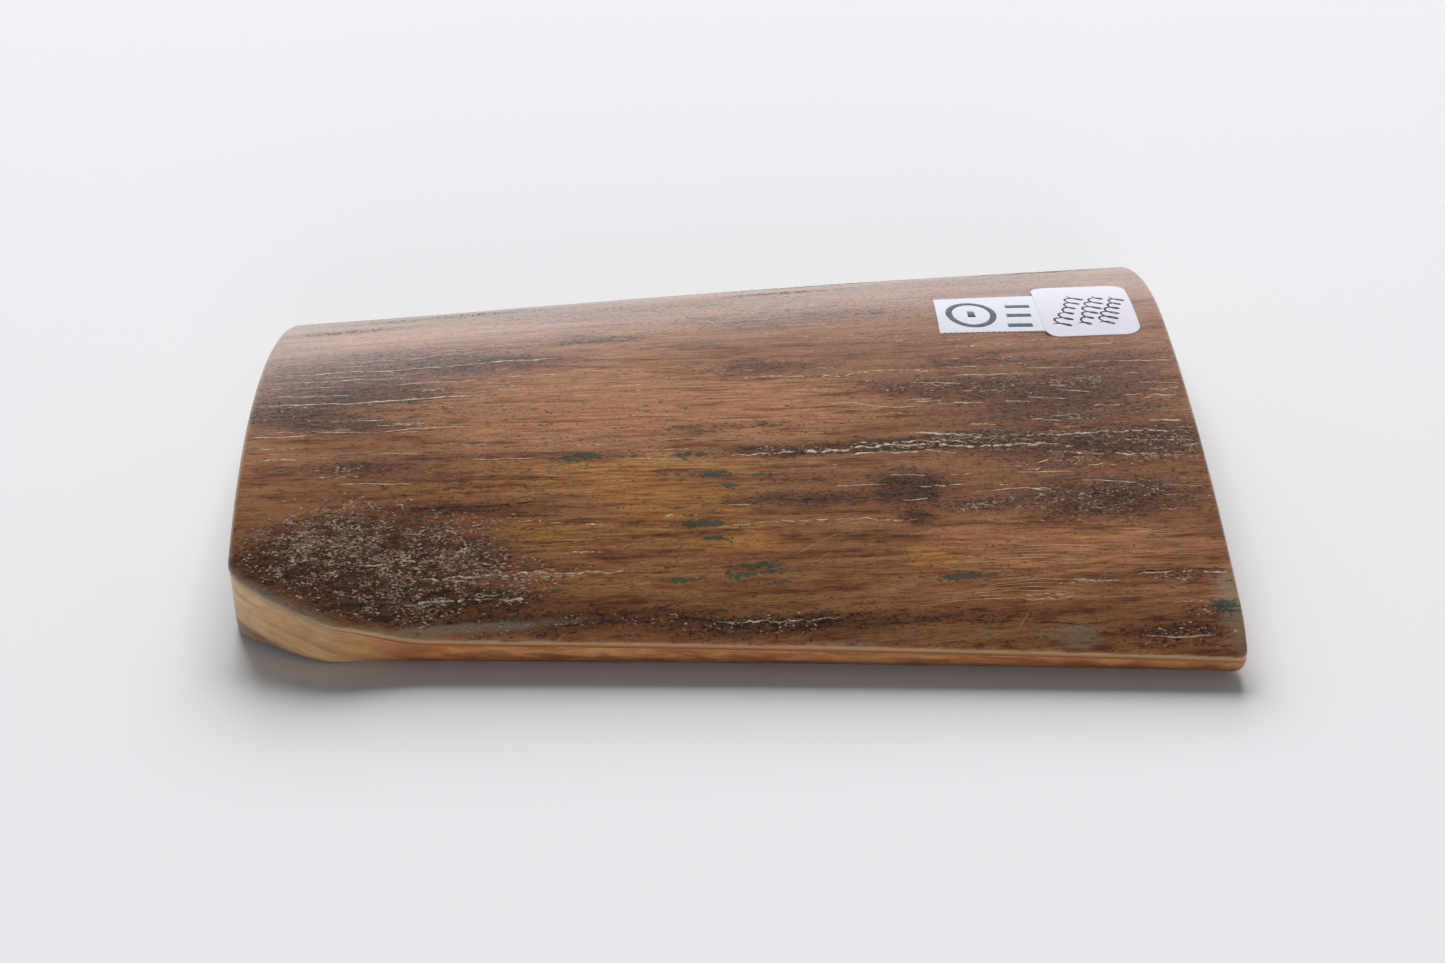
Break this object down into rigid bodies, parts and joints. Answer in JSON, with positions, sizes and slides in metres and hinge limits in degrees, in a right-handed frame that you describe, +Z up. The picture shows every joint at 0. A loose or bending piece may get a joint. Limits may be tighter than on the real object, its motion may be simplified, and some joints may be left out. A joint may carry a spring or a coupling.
{
  "type": "fossil tusk slab",
  "caption": "Sawn and polished slab of fossil tusk, domed on top and flat below, one corner cut, with two paper stickers.",
  "frame": {"origin": "on the flat underside, at the middle of the outline's box", "axes": "+X along the growth of the tusk towards the thicker end, +Y towards the back edge, +Z up out of the domed bark"},
  "size_m": [0.1016, 0.0831, 0.0132],
  "materials": {
    "fossil_bark": "polished, mineral-stained cementum bark of a fossil tusk with cream cracks",
    "cream_dentine": "polished cream dentine with fine growth lines",
    "stained_dentine": "sawn and sanded grey-brown dentine",
    "sticker_paper": "matt white label paper"
  },
  "bodies": {
    "root": {"bark_rind": "fossil_bark", "outer_dentine": "cream_dentine", "inner_dentine": "stained_dentine", "emblem_sticker": "sticker_paper", "price_label": "sticker_paper"}
  },
  "joints": []
}
